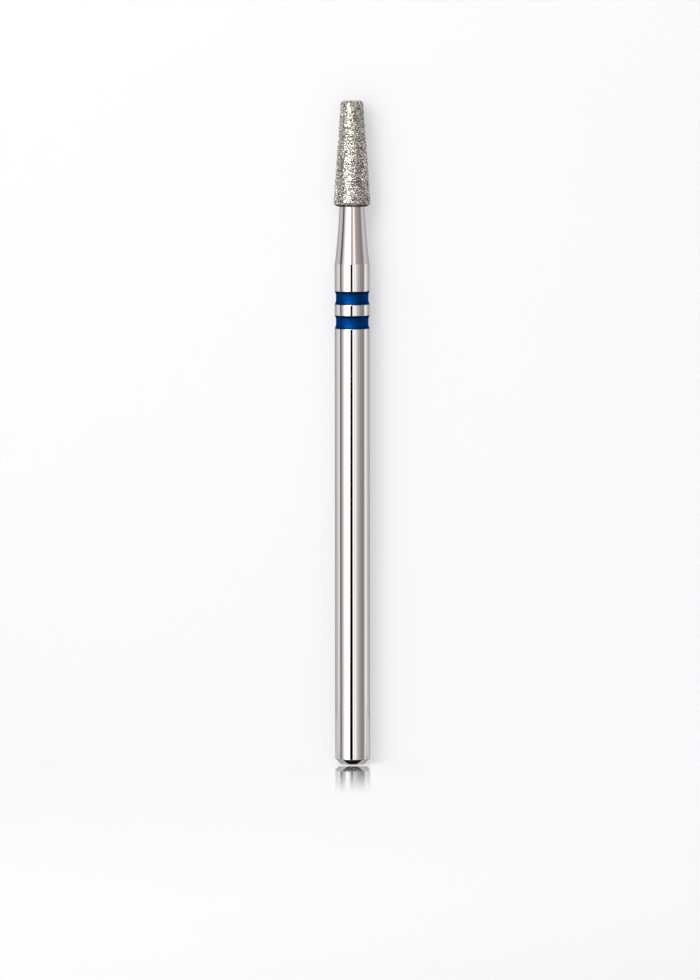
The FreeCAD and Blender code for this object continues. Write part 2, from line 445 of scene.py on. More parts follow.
def speckle(shader: Shader, scale: float, stretch: float = 1.0, contrast: float = 1.0) -> bpy.types.Node:
    """Places the speckle group on Object coordinates.

    Args:
        shader: the material's builder.
        scale: waves to the metre.
        stretch: squeeze along Z; over 1 gives rings round the axis, under 1 streaks along it.
        contrast: how far the values spread from one half.

    Returns:
        The group node.
    """
    place = shader.add("TexCoord")
    node = shader.add("Group", node_tree=speckle_group())
    shader.feed(node, Vector=place.outputs["Object"], Scale=scale, Stretch=stretch, Contrast=contrast)
    return node


# Finishes


@dataclass(frozen=True)
class PolishedSteel:
    """Stainless steel, ground round the axis and polished bright."""

    base: Colour = (0.66, 0.635, 0.62)
    edge_tint: Colour = (0.62, 0.6, 0.6)
    roughness_low: float = 0.04
    roughness_high: float = 0.055
    mark_height: float = 0.0000006

    def material(self) -> bpy.types.Material:
        """Builds the material.

        Returns:
            Steel whose grinding marks run round the axis.
        """
        material, shader, output = new_material("polished_steel")
        stain = speckle(shader, 260.0, 0.35, 1.6)
        marks = speckle(shader, 900.0, 22.0, 1.5)
        surface = shader.add("BsdfPrincipled")
        shader.feed(surface, Metallic=1.0, Specular_Tint=(*self.edge_tint, 1.0))
        darker = tuple(channel * 0.95 for channel in self.base)
        shader.link(shader.blend(stain.outputs["Value"], darker, self.base), surface.inputs["Base Color"])
        rough = shader.ramp(marks.outputs["Value"], 0.0, 1.0, self.roughness_low, self.roughness_high)
        shader.link(rough, surface.inputs["Roughness"])
        bump = shader.add("Bump")
        shader.feed(bump, Strength=0.08, Distance=self.mark_height, Height=marks.outputs["Fine"])
        shader.link(bump.outputs[0], surface.inputs["Normal"])
        shader.link(surface.outputs[0], output.inputs["Surface"])
        return material


@dataclass(frozen=True)
class BlueEnamel:
    """Deep blue see-through enamel: the metal under it gives its shine back in blue.

    Its colour carries painted shade: darkest along its upper edge, under the upper wall of its groove, and
    a little darker along its lower edge.
    """

    # edge: colour of the painted shade along the ring's edges.
    edge: Colour = (0.0, 0.004, 0.02)
    deep: Colour = (0.0001, 0.025, 0.122)
    lit: Colour = (0.0005, 0.04, 0.178)
    edge_tint: Colour = (0.3, 0.55, 0.85)
    roughness_low: float = 0.44
    roughness_high: float = 0.52

    def material(self) -> bpy.types.Material:
        """Builds the material.

        Returns:
            Enamel with a broad blue shine, a faint mottle and painted shade along its edges.
        """
        material, shader, output = new_material("blue_enamel")
        mottle = speckle(shader, 1500.0, 1.0, 1.4)
        surface = shader.add("BsdfPrincipled")
        shader.feed(surface, Metallic=1.0, Specular_Tint=(*self.edge_tint, 1.0))
        height = shader.add("Attribute", attribute_name="ring_height").outputs["Fac"]
        # Painted shade: the upper edge, under the groove's upper wall, blends fully towards the dark edge
        # colour, and the lower edge half as much.
        shade_under_top = shader.ramp(height, 0.76, 0.94, 1.0, 0.12)
        unshaded_share = shader.ramp(height, 0.02, 0.2, 0.5, shade_under_top)
        body = shader.blend(mottle.outputs["Value"], self.deep, self.lit)
        shader.link(shader.blend(unshaded_share, self.edge, body), surface.inputs["Base Color"])
        rough = shader.ramp(mottle.outputs["Fine"], 0.0, 1.0, self.roughness_low, self.roughness_high)
        shader.link(rough, surface.inputs["Roughness"])
        bump = shader.add("Bump")
        shader.feed(bump, Strength=0.25, Distance=0.000004, Height=mottle.outputs["Value"])
        shader.link(bump.outputs[0], surface.inputs["Normal"])
        shader.link(surface.outputs[0], output.inputs["Surface"])
        return material


@dataclass(frozen=True)
class NickelBond:
    """Matt electroplated nickel with painted shade: its colours are dark for the shade between the grains,
    and the hollows of its nodules take the darker one.
    """

    hollow: Colour = (0.03, 0.027, 0.023)
    crest: Colour = (0.16, 0.148, 0.13)

    def material(self) -> bpy.types.Material:
        """Builds the material.

        Returns:
            Nodular plated metal, dark with painted shade.
        """
        material, shader, output = new_material("nickel_bond")
        nodules = speckle(shader, 9000.0, 1.0, 2.2)
        surface = shader.add("BsdfPrincipled")
        shader.feed(surface, Metallic=0.9)
        # Painted shade: both colours are dark for the shade between the grains, and the low spots of the
        # nodule bump take the darker hollow colour.
        tone = shader.blend(nodules.outputs["Value"], self.hollow, self.crest)
        shader.link(tone, surface.inputs["Base Color"])
        rough = shader.ramp(nodules.outputs["Fine"], 0.0, 1.0, 0.35, 0.6)
        shader.link(rough, surface.inputs["Roughness"])
        bump = shader.add("Bump")
        shader.feed(bump, Strength=0.8, Distance=0.00002, Height=nodules.outputs["Value"])
        shader.link(bump.outputs[0], surface.inputs["Normal"])
        shader.link(surface.outputs[0], output.inputs["Surface"])
        return material


@dataclass(frozen=True)
class DiamondGrit:
    """Warm grey crystals whose facets throw the light back, with some dark ones among them.

    Their colour carries painted shade: dark low down, where they stand in the bond, and in a band round the
    rim where the coat ends, for the head's shaded lower edge.
    """

    # Colour of the painted shade low on the grains and round the rim.
    painted_grain_shade: Colour = (0.035, 0.031, 0.025)
    dark: Colour = (0.27, 0.256, 0.224)
    pale: Colour = (0.98, 0.94, 0.845)
    dark_share: float = 0.28
    roughness_low: float = 0.18
    roughness_high: float = 0.32
    # Height of the band of painted shade just over the edge of the coat.
    rim_shade_band: float = 0.17 * MM
    foot: float = field(default_factory=lambda: heights("nickel_bond")[0])

    def material(self) -> bpy.types.Material:
        """Builds the material.

        Returns:
            Grit whose tone differs from grain to grain.
        """
        material, shader, output = new_material("diamond_grit")
        tone = shader.add("Attribute", attribute_name="grain_tone")
        frost = speckle(shader, 12000.0, 1.0, 1.6)
        surface = shader.add("BsdfPrincipled")
        shader.feed(surface, Metallic=1.0)
        height = shader.add("Attribute", attribute_name="grain_height")
        shift = shader.compute("MULTIPLY_ADD", frost.outputs["Value"], 0.3, tone.outputs["Fac"], clamp=True)
        clean = shader.ramp(shift, self.dark_share - 0.15, self.dark_share + 0.25, 0.0, 1.0)
        bare = shader.blend(clean, self.dark, self.pale)
        # Painted shade: the low parts of each grain and a band just over the coat's edge take the dark
        # shade colour.
        above_shade = shader.ramp(height.outputs["Fac"], 0.2, 0.9, 0.0, 1.0)
        rim = self.foot + 0.03 * MM
        clear = shader.ramp(shader.axes()["Z"], rim, rim + self.rim_shade_band, 0.0, above_shade)
        shader.link(shader.blend(clear, self.painted_grain_shade, bare), surface.inputs["Base Color"])
        rough = shader.ramp(frost.outputs["Fine"], 0.0, 1.0, self.roughness_low, self.roughness_high)
        shader.link(rough, surface.inputs["Roughness"])
        shader.link(surface.outputs[0], output.inputs["Surface"])
        return material


# Pieces


def settle(piece: bpy.types.Object, material: bpy.types.Material, slot: Slot, *nodes: str) -> None:
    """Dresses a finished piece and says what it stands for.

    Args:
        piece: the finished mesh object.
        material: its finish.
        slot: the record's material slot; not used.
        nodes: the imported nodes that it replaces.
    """
    piece.data.materials.clear()
    piece.data.materials.append(material)
    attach(piece, BODY)
    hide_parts(*nodes)
    LOG.info("%s: %d faces, stands for %s", piece.name, len(piece.data.polygons), ", ".join(nodes))


def heights(node: str) -> tuple[float, float]:
    """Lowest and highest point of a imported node."""
    low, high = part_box(node)
    return low[2], high[2]


def outer_radius(node: str) -> float:
    """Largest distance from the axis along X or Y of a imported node."""
    low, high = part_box(node)
    return max(abs(value) for corner in (low, high) for value in corner[:2])


@dataclass
class Head:
    """Sizes of the coated head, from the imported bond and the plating's own thickness."""

    foot: float = field(default_factory=lambda: heights("nickel_bond")[0])
    top: float = field(default_factory=lambda: heights("nickel_bond")[1])
    base_radius: float = 1.21 * MM
    tip_radius: float = 0.71 * MM
    base_round: float = 0.28 * MM
    tip_round: float = 0.18 * MM
    plating: float = 0.09 * MM
    neck_radius: float = 0.835 * MM

    def core(self) -> Outline:
        """The steel core in the bond, from the neck's stub to the axis.

        Returns:
            The core's outline, its two edges chamfered.
        """
        base = self.base_radius - self.plating
        tip = self.tip_radius - self.plating
        foot, top = self.foot + self.plating, self.top - self.plating
        taper = (base - tip) / (top - foot)
        base_edge, tip_edge = self.base_round - self.plating, self.tip_round - self.plating
        outline = Outline().to(self.neck_radius, self.foot).to(self.neck_radius, foot)
        outline.to(base - base_edge, foot).to(base - base_edge * taper, foot + base_edge)
        outline.to(tip + tip_edge * taper, top - tip_edge).to(tip - tip_edge, top).to(0, top)
        return outline


@dataclass
class SteelBlank:
    """Shank, ring grooves, neck and head core, turned from one bar."""

    head: Head
    ring_nodes: tuple[str, ...] = ("ring_lower", "ring_upper")
    shank_radius: float = field(default_factory=lambda: outer_radius("steel_blank"))
    end_chamfer: float = 0.34 * MM
    shoulder: float = 33.6 * MM
    root_radius: float = 1.155 * MM
    neck_hollow: float = 0.03 * MM
    groove_depth: float = 0.188 * MM
    lip_round: float = 0.025 * MM
    end_round: float = 0.04 * MM
    segments: int = 256

    def outline(self) -> Outline:
        """Draws the bar's half section.

        Returns:
            The outline, from the middle of the end face to the top of the core.
        """
        wall = self.shank_radius
        outline = Outline().to(0, 0)
        outline.to(wall - self.end_chamfer, 0, self.end_round)
        outline.to(wall, self.end_chamfer, self.end_round)
        for node in self.ring_nodes:
            low, high = heights(node)
            floor = wall - self.groove_depth
            outline.to(wall, low, self.lip_round).to(floor, low)
            outline.to(floor, high).to(wall, high, self.lip_round)
        outline.to(wall, self.shoulder, self.lip_round / 2)
        outline.to(self.root_radius, self.shoulder + 0.004 * MM)
        outline.hollow(self.head.neck_radius, self.head.foot, self.neck_hollow, steps=24)
        outline.corners += self.head.core().corners[1:]
        return outline

    def build(self, finish: PolishedSteel) -> bpy.types.Object:
        """Turns the bar and dresses it.

        Args:
            finish: the steel's finish.

        Returns:
            The finished piece.
        """
        piece = turned_mesh("steel_blank_turned", self.outline().points(), self.segments)
        settle(piece, finish.material(), Slot.STEEL, "steel_blank")
        return piece


@dataclass
class ColourRing:
    """One enamel ring: it fills its groove and is drawn in to a waist."""

    node: str
    wall: float
    depth: float = 0.188 * MM
    dish: float = 0.088 * MM
    waist: float = 0.2 * MM
    segments: int = 192
    steps: int = 10

    def outline(self) -> list[Point]:
        """Draws the ring's half section.

        Returns:
            The (radius, height) points, both hollow sides as arcs that run into the waist.
        """
        low, high = heights(self.node)
        side = (high - low - self.waist) / 2
        sweep = (side**2 + self.dish**2) / (2 * self.dish)
        waist_radius = self.wall - self.dish
        lift = math.asin(side / sweep)
        lower = []
        for step in range(self.steps + 1):
            angle = lift * (1 - step / self.steps)
            height = low + side - sweep * math.sin(angle)
            lower.append((waist_radius + sweep * (1 - math.cos(angle)), height))
        upper = [(radius, low + high - height) for radius, height in reversed(lower)]
        floor = self.wall - self.depth
        return [(floor, low)] + lower + upper + [(floor, high)]

    def build(self, finish: bpy.types.Material) -> bpy.types.Object:
        """Turns the ring, notes each point's height in it as ring_height, 0 to 1, and dresses it.

        Args:
            finish: the enamel that both rings share.

        Returns:
            The finished piece.
        """
        piece = turned_mesh(f"{self.node}_enamel", self.outline(), self.segments, crease_deg=35.0)
        low, high = heights(self.node)
        standing = piece.data.attributes.new("ring_height", "FLOAT", "POINT")
        for vertex, item in zip(piece.data.vertices, standing.data):
            item.value = (vertex.co.z - low) / (high - low)
        settle(piece, finish, Slot.ENAMEL, self.node)
        return piece


@dataclass
class GritCoat:
    """The nickel bond and the diamond grains that stand in it."""

    head: Head
    segments: int = 128
    row_height: float = 0.12 * MM
    spacing: float = 0.08 * MM
    grain_size: float = 0.124 * MM
    size_spread: float = 0.3
    lift: float = 0.026 * MM
    tilt_deg: float = 16.0
    kinds: int = 24
    seed: int = 41

    def skin(self, start_radius: float) -> list[Point]:
        """The outside of the bond, from its underside to the tip.

        Args:
            start_radius: where it starts on the underside.

        Returns:
            The (radius, height) points.
        """
        head = self.head
        outline = Outline().to(start_radius, head.foot)
        outline.to(head.base_radius, head.foot, head.base_round)
        outline.to(head.tip_radius, head.top, head.tip_round)
        outline.to(0, head.top)
        return subdivided(outline.points(steps=8), self.row_height)

    def bond_outline(self) -> list[Point]:
        """Draws the outside of the bond and the hollow that takes the core.

        Returns:
            The (radius, height) points.
        """
        inside = [corner[:2] for corner in self.head.core().corners[1:]]
        return self.skin(self.head.neck_radius) + list(reversed(inside))

    def seat(self) -> bpy.types.Object:
        """The bond's outer skin alone, from which the grains are set out.

        Returns:
            A scratch object, removed once the grains stand.
        """
        skin = self.skin(self.head.neck_radius + self.grain_size / 2)
        return turned_mesh("grit_seat", [(0, self.head.foot)] + skin, self.segments)

    def crystals(self) -> bpy.types.Collection:
        """A few kinds of crystal, each a block with a broad, hardly broken top, one unit across.

        Each keeps how high its corners stand over the bond as grain_height, from 0 to 1.

        Returns:
            A collection that isn't linked to the scene.
        """
        rng = random.Random(self.seed)
        collection = bpy.data.collections.new("crystal_kinds")
        for kind in range(self.kinds):
            work = bmesh.new()
            top = rng.uniform(0.2, 0.28)
            for count, radius, height, wobble in (
                (1, 0.1, top + 0.02, 0.01),
                (rng.randint(4, 6), 0.4, top, 0.025),
                (rng.randint(5, 7), 0.5, 0.04, 0.06),
                (3, 0.3, -0.3, 0.04),
            ):
                start = rng.uniform(0, 2 * math.pi)
                for corner in range(count):
                    angle = start + 2 * math.pi * (corner + rng.uniform(-0.22, 0.22)) / count
                    reach = radius * rng.uniform(0.72, 1.0)
                    level = height + rng.uniform(-wobble, wobble)
                    work.verts.new((reach * math.cos(angle), reach * math.sin(angle), level))
            hull = bmesh.ops.convex_hull(work, input=work.verts)
            bmesh.ops.delete(work, geom=hull["geom_interior"], context="VERTS")
            bmesh.ops.recalc_face_normals(work, faces=work.faces)
            mesh = bpy.data.meshes.new(f"crystal_{kind}")
            work.to_mesh(mesh)
            work.free()
            standing = mesh.attributes.new("grain_height", "FLOAT", "POINT")
            for vertex, item in zip(mesh.vertices, standing.data):
                item.value = min(1.0, max(0.0, vertex.co.z / top))
            collection.objects.link(bpy.data.objects.new(f"crystal_{kind}", mesh))
        return collection

    def scatter_tree(
        self, crystals: bpy.types.Collection, material: bpy.types.Material
    ) -> bpy.types.NodeTree:
        """The tree that stands crystals all over the skin it is given.

        Args:
            crystals: the kinds of crystal to pick from.
            material: the grains' finish.

        Returns:
            A geometry node group with named inputs for spacing, size, lift, tilt and seed.
        """
        tree = bpy.data.node_groups.new("grit_scatter", "GeometryNodeTree")
        face = tree.interface
        face.new_socket("Geometry", in_out="INPUT", socket_type="NodeSocketGeometry")
        for label in ("Spacing", "Grain Size", "Size Spread", "Lift", "Tilt"):
            face.new_socket(label, in_out="INPUT", socket_type="NodeSocketFloat")
        face.new_socket("Seed", in_out="INPUT", socket_type="NodeSocketInt")
        face.new_socket("Geometry", in_out="OUTPUT", socket_type="NodeSocketGeometry")
        build = Shader(tree)
        nodes, links = tree.nodes, tree.links
        given = nodes.new("NodeGroupInput").outputs
        result = nodes.new("NodeGroupOutput")

        def random_value(kind: str, low, high, salt: int) -> bpy.types.NodeSocket:
            """A random value for each point, its seed offset so that no two draws agree."""
            node = nodes.new("FunctionNodeRandomValue")
            node.data_type = kind
            first = {"FLOAT_VECTOR": 0, "FLOAT": 2, "INT": 4}[kind]
            for socket, value in zip(node.inputs[first:first + 2], (low, high)):
                if isinstance(value, bpy.types.NodeSocket):
                    links.new(value, socket)
                else:
                    socket.default_value = value
            links.new(build.compute("ADD", given["Seed"], salt), node.inputs["Seed"])
            return node.outputs[{"FLOAT_VECTOR": 0, "FLOAT": 1, "INT": 2}[kind]]

        scatter = nodes.new("GeometryNodeDistributePointsOnFaces")
        scatter.distribute_method = "POISSON"
        links.new(given["Geometry"], scatter.inputs["Mesh"])
        links.new(given["Spacing"], scatter.inputs["Distance Min"])
        scatter.inputs["Density Max"].default_value = 1.0e9
        links.new(given["Seed"], scatter.inputs["Seed"])

        tone = nodes.new("GeometryNodeStoreNamedAttribute")
        tone.data_type = "FLOAT"
        tone.domain = "POINT"
        tone.inputs["Name"].default_value = "grain_tone"
        links.new(scatter.outputs["Points"], tone.inputs["Geometry"])
        links.new(random_value("FLOAT", 0.0, 1.0, 3), tone.inputs["Value"])

        smallest = build.compute("SUBTRACT", 1.0, given["Size Spread"])
        size = build.compute("MULTIPLY", random_value("FLOAT", smallest, 1.0, 5), given["Grain Size"])

        outward = build.add("VectorMath", operation="SCALE")
        links.new(scatter.outputs["Normal"], outward.inputs[0])
        links.new(random_value("FLOAT", 0.0, given["Lift"], 13), outward.inputs["Scale"])
        raised = nodes.new("GeometryNodeSetPosition")
        links.new(tone.outputs[0], raised.inputs["Geometry"])
        links.new(outward.outputs[0], raised.inputs["Offset"])

        drawn = random_value("FLOAT_VECTOR", (-1.0, -1.0, -1.0), (1.0, 1.0, 1.0), 11)
        any_turn = build.combine("MAXIMUM", build.combine("ABSOLUTE", drawn), (0.0, 0.0, 1.0))
        mostly_small = build.combine("MULTIPLY", drawn, any_turn)
        limits = build.add("CombineXYZ")
        build.feed(limits, X=given["Tilt"], Y=given["Tilt"], Z=math.pi)
        turned = nodes.new("FunctionNodeRotateRotation")
        turned.rotation_space = "LOCAL"
        links.new(scatter.outputs["Rotation"], turned.inputs[0])
        links.new(build.combine("MULTIPLY", mostly_small, limits.outputs[0]), turned.inputs[1])

        kinds = nodes.new("GeometryNodeCollectionInfo")
        kinds.inputs["Collection"].default_value = crystals
        kinds.inputs["Separate Children"].default_value = True
        place = nodes.new("GeometryNodeInstanceOnPoints")
        place.inputs["Pick Instance"].default_value = True
        links.new(raised.outputs[0], place.inputs["Points"])
        links.new(kinds.outputs[0], place.inputs["Instance"])
        links.new(random_value("INT", 0, len(crystals.objects) - 1, 7), place.inputs["Instance Index"])
        links.new(turned.outputs[0], place.inputs["Rotation"])
        links.new(size, place.inputs["Scale"])

        real = nodes.new("GeometryNodeRealizeInstances")
        dressed = nodes.new("GeometryNodeSetMaterial")
        dressed.inputs["Material"].default_value = material
        links.new(place.outputs[0], real.inputs[0])
        links.new(real.outputs[0], dressed.inputs["Geometry"])
        links.new(dressed.outputs[0], result.inputs[0])
        return tree

    def build(self, bond_finish: NickelBond, grit_finish: DiamondGrit) -> None:
        """Builds the bond and its grains and dresses both.

        Args:
            bond_finish: finish of the nickel.
            grit_finish: finish of the grains.
        """
        bond = turned_mesh("nickel_bond_plated", self.bond_outline(), self.segments)
        settle(bond, bond_finish.material(), Slot.NICKEL, "nickel_bond")

        material = grit_finish.material()
        crystals = self.crystals()
        seat = self.seat()
        tree = self.scatter_tree(crystals, material)
        modifier = seat.modifiers.new("grit", "NODES")
        modifier.node_group = tree
        values = {
            "Spacing": self.spacing,
            "Grain Size": self.grain_size,
            "Size Spread": self.size_spread,
            "Lift": self.lift,
            "Tilt": math.radians(self.tilt_deg),
            "Seed": self.seed,
        }
        for item in tree.interface.items_tree:
            if item.in_out == "INPUT" and item.name in values:
                modifier[item.identifier] = values[item.name]
        graph = bpy.context.evaluated_depsgraph_get()
        mesh = bpy.data.meshes.new_from_object(seat.evaluated_get(graph))
        seat.modifiers.remove(modifier)
        bpy.data.objects.remove(seat)
        for crystal in list(crystals.objects):
            bpy.data.objects.remove(crystal)
        bpy.data.collections.remove(crystals)
        mesh.name = "diamond_grit"
        grit = bpy.data.objects.new("diamond_grit", mesh)
        bpy.context.scene.collection.objects.link(grit)
        settle(grit, material, Slot.DIAMOND, "diamond_grains")


def subdivided(points: list[Point], step: float) -> list[Point]:
    """The same outline with no run longer than one step.

    Args:
        points: the outline's points.
        step: the longest run allowed.

    Returns:
        The points, with more on each long run.
    """
    found = [points[0]]
    for (radius, height), (next_radius, next_height) in zip(points, points[1:]):
        run = math.hypot(next_radius - radius, next_height - height)
        parts = max(1, math.ceil(run / step))
        for part in range(1, parts + 1):
            share = part / parts
            found.append((radius + share * (next_radius - radius), height + share * (next_height - height)))
    return found


# Studio


@dataclass(frozen=True)
class Level:
    """How bright the light tent is in one direction, seen from the bur."""

    azimuth_deg: float
    brightness: float
    tint: Colour = (1.0, 1.0, 1.0)


@dataclass(frozen=True)
class LightTent:
    """A curved sheet round the camera side, lit unevenly, that the steel mirrors as upright bands.

    Azimuth 0 is the camera's side and grows towards +X. Between two levels the brightness runs
    evenly. The shank mirrors the lower part, the neck and the head mirror the upper part, and the
    grains also a brighter patch over that, on the left. Light that was mirrored twice is held
    back, which keeps the crevices and the floor's image dark. Each side of the dark slot is given as
    its azimuth at the floor, and the degrees that it turns in a metre of height.
    """

    radius: float = 170 * MM
    foot: float = -60 * MM
    top: float = 150 * MM
    change: float = 34 * MM
    change_blur: float = 2 * MM
    lean_deg_per_m: float = 61.0
    lean_height: float = 15 * MM
    slot_left: tuple[float, float] = (-13.9, 162.0)
    slot_right: tuple[float, float] = (1.25, 35.0)
    slot_blur_deg: tuple[float, float] = (0.9, 1.4)
    reach_deg: float = 90.0
    patch_gain: float = 2.2
    patch_left_deg: tuple[float, float] = (-62.0, -44.0)
    patch_right_deg: tuple[float, float] = (-2.0, 28.0)
    patch_foot: tuple[float, float] = (62 * MM, 78 * MM)
    twice_mirrored: float = 0.44
    lower: tuple[Level, ...] = (
        Level(-90.0, 0.95),
        Level(-86.5, 0.22),
        Level(-80.0, 0.22),
        Level(-74.0, 0.45),
        Level(-61.0, 1.05),
        Level(-50.0, 1.6),
        Level(-42.0, 3.4),
        Level(-25.0, 3.4),
        Level(-19.0, 1.8),
        Level(3.0, 1.8, (1.0, 0.99, 0.98)),
        Level(9.0, 1.6, (1.0, 0.98, 0.97)),
        Level(13.0, 1.15, (1.0, 0.97, 0.95)),
        Level(21.0, 1.4, (1.0, 0.98, 0.97)),
        Level(28.0, 1.1, (1.0, 0.98, 0.98)),
        Level(34.0, 0.76, (1.0, 0.98, 0.98)),
        Level(50.0, 0.54, (1.0, 0.98, 0.98)),
        Level(60.0, 0.39, (1.0, 0.97, 0.99)),
        Level(83.0, 0.37, (1.0, 0.97, 1.0)),
        Level(87.0, 0.8),
        Level(90.0, 1.35),
    )
    upper: tuple[Level, ...] = (
        Level(-90.0, 0.3),
        Level(-87.0, 0.12),
        Level(-78.0, 0.12),
        Level(-73.0, 0.45),
        Level(-61.0, 1.05),
        Level(-50.0, 1.6),
        Level(-42.0, 3.4),
        Level(-12.5, 3.4),
        Level(-10.5, 0.72, (1.0, 0.93, 0.91)),
        Level(6.5, 0.72, (1.0, 0.93, 0.91)),
        Level(9.0, 1.7, (1.0, 0.95, 0.93)),
        Level(16.0, 1.6, (1.0, 0.94, 0.92)),
        Level(23.0, 1.0, (1.0, 0.92, 0.9)),
        Level(29.0, 0.6, (1.0, 0.89, 0.87)),
        Level(72.0, 0.34, (1.0, 0.88, 0.86)),
        Level(82.0, 0.38, (1.0, 0.92, 0.9)),
        Level(90.0, 0.8),
    )

    def build(self) -> None:
        """Stands the tent, out of the camera's sight."""
        ends = []
        steps = 60
        for step in range(steps + 1):
            angle = math.radians(self.reach_deg * (2 * step / steps - 1))
            ends.append((math.sin(angle) * self.radius, -math.cos(angle) * self.radius))
        points = [(x, y, self.foot) for x, y in ends] + [(x, y, self.top) for x, y in ends]
        faces = [(step, step + 1, steps + 2 + step, steps + 1 + step) for step in range(steps)]
        mesh = bpy.data.meshes.new("light_tent")
        mesh.from_pydata(points, [], faces)
        tent = bpy.data.objects.new("light_tent", mesh)
        bpy.context.scene.collection.objects.link(tent)
        tent.data.materials.append(self.material())
        tent.visible_camera = False

    def material(self) -> bpy.types.Material:
        """The glow of the tent, drawn round it by azimuth.

        Returns:
            An emission material.
        """
        material, shader, output = new_material("tent_glow")
        axes = shader.axes()
        azimuth = shader.compute("ARCTAN2", axes["X"], shader.compute("MULTIPLY", axes["Y"], -1.0))
        reach = math.radians(self.reach_deg)
        share = shader.ramp(azimuth, -reach, reach, 0.0, 1.0, kind="LINEAR")
        peak = max(level.brightness for level in self.lower + self.upper)
        leaning = math.radians(self.lean_deg_per_m) / (2 * reach)
        turned = shader.compute("MULTIPLY_ADD", axes["Z"], -leaning, share)
        turned = shader.compute("ADD", turned, leaning * self.lean_height)
        below = self.ramp(shader, turned, self.lower, peak)
        above = self.ramp(shader, share, self.upper, peak)
        band = shader.ramp(axes["Z"], *self.change_ends(), 0.0, 1.0)
        ray = shader.add("LightPath").outputs
        deep = shader.ramp(ray["Ray Depth"], 1.4, 1.6, 0.0, 1.0)
        again = shader.compute("MULTIPLY", ray["Is Glossy Ray"], deep)
        into = shader.ramp(azimuth, *map(math.radians, self.patch_left_deg), peak, peak * self.patch_gain)
        patch = shader.ramp(azimuth, *map(math.radians, self.patch_right_deg), into, peak)
        level = shader.ramp(axes["Z"], *self.patch_foot, peak, patch)
        strength = shader.compute("MULTIPLY", level, shader.ramp(again, 0.0, 1.0, 1.0, self.twice_mirrored))
        strength = shader.compute("MULTIPLY", strength, self.beside_slot(shader, azimuth, axes["Z"]))
        glow = shader.add("Emission")
        shader.feed(glow, Color=shader.blend(band, below, above), Strength=strength)
        shader.link(glow.outputs[0], output.inputs["Surface"])
        material.cycles.emission_sampling = "NONE"
        return material

    def change_ends(self) -> tuple[float, float]:
        """The heights between which the lower list gives way to the upper one."""
        return self.change - self.change_blur, self.change + self.change_blur

    def beside_slot(self, shader: Shader, azimuth, height) -> bpy.types.NodeSocket:
        """The dark slot that the shank mirrors as a thin line, wider towards the foot.

        Args:
            shader: the material's builder.
            azimuth: socket with the azimuth in radians.
            height: socket with the height.

        Returns:
            A socket that is 0 in the slot and 1 beside and above it.
        """
        (left, left_slope), (right, right_slope) = self.slot_left, self.slot_right
        past_left = shader.compute("MULTIPLY_ADD", height, -math.radians(left_slope), azimuth)
        past_right = shader.compute("MULTIPLY_ADD", height, -math.radians(right_slope), azimuth)
        left_blur, right_blur = self.slot_blur_deg
        beside = shader.ramp(past_left, math.radians(left - left_blur), math.radians(left), 1.0, 0.0)
        beside = shader.ramp(past_right, math.radians(right), math.radians(right + right_blur), beside, 1.0)
        return shader.ramp(height, *self.change_ends(), beside, 1.0)

    def ramp(self, shader: Shader, share, levels: tuple[Level, ...], peak: float) -> bpy.types.NodeSocket:
        """A colour ramp through the levels.

        Args:
            shader: the material's builder.
            share: socket that runs from 0 at the left end of the tent to 1 at its right end.
            levels: the levels in order of azimuth.
            peak: the brightness that a ramp colour of 1 stands for.

        Returns:
            The ramp's colour.
        """
        node = shader.add("ValToRGB")
        shader.link(share, node.inputs[0])
        stops = node.color_ramp.elements
        while len(stops) < len(levels):
            stops.new(1.0)
        for stop, level in zip(stops, levels):
            stop.position = (level.azimuth_deg / self.reach_deg + 1) / 2
            stop.color = (*(channel * level.brightness / peak for channel in level.tint), 1.0)
        return node.outputs["Color"]


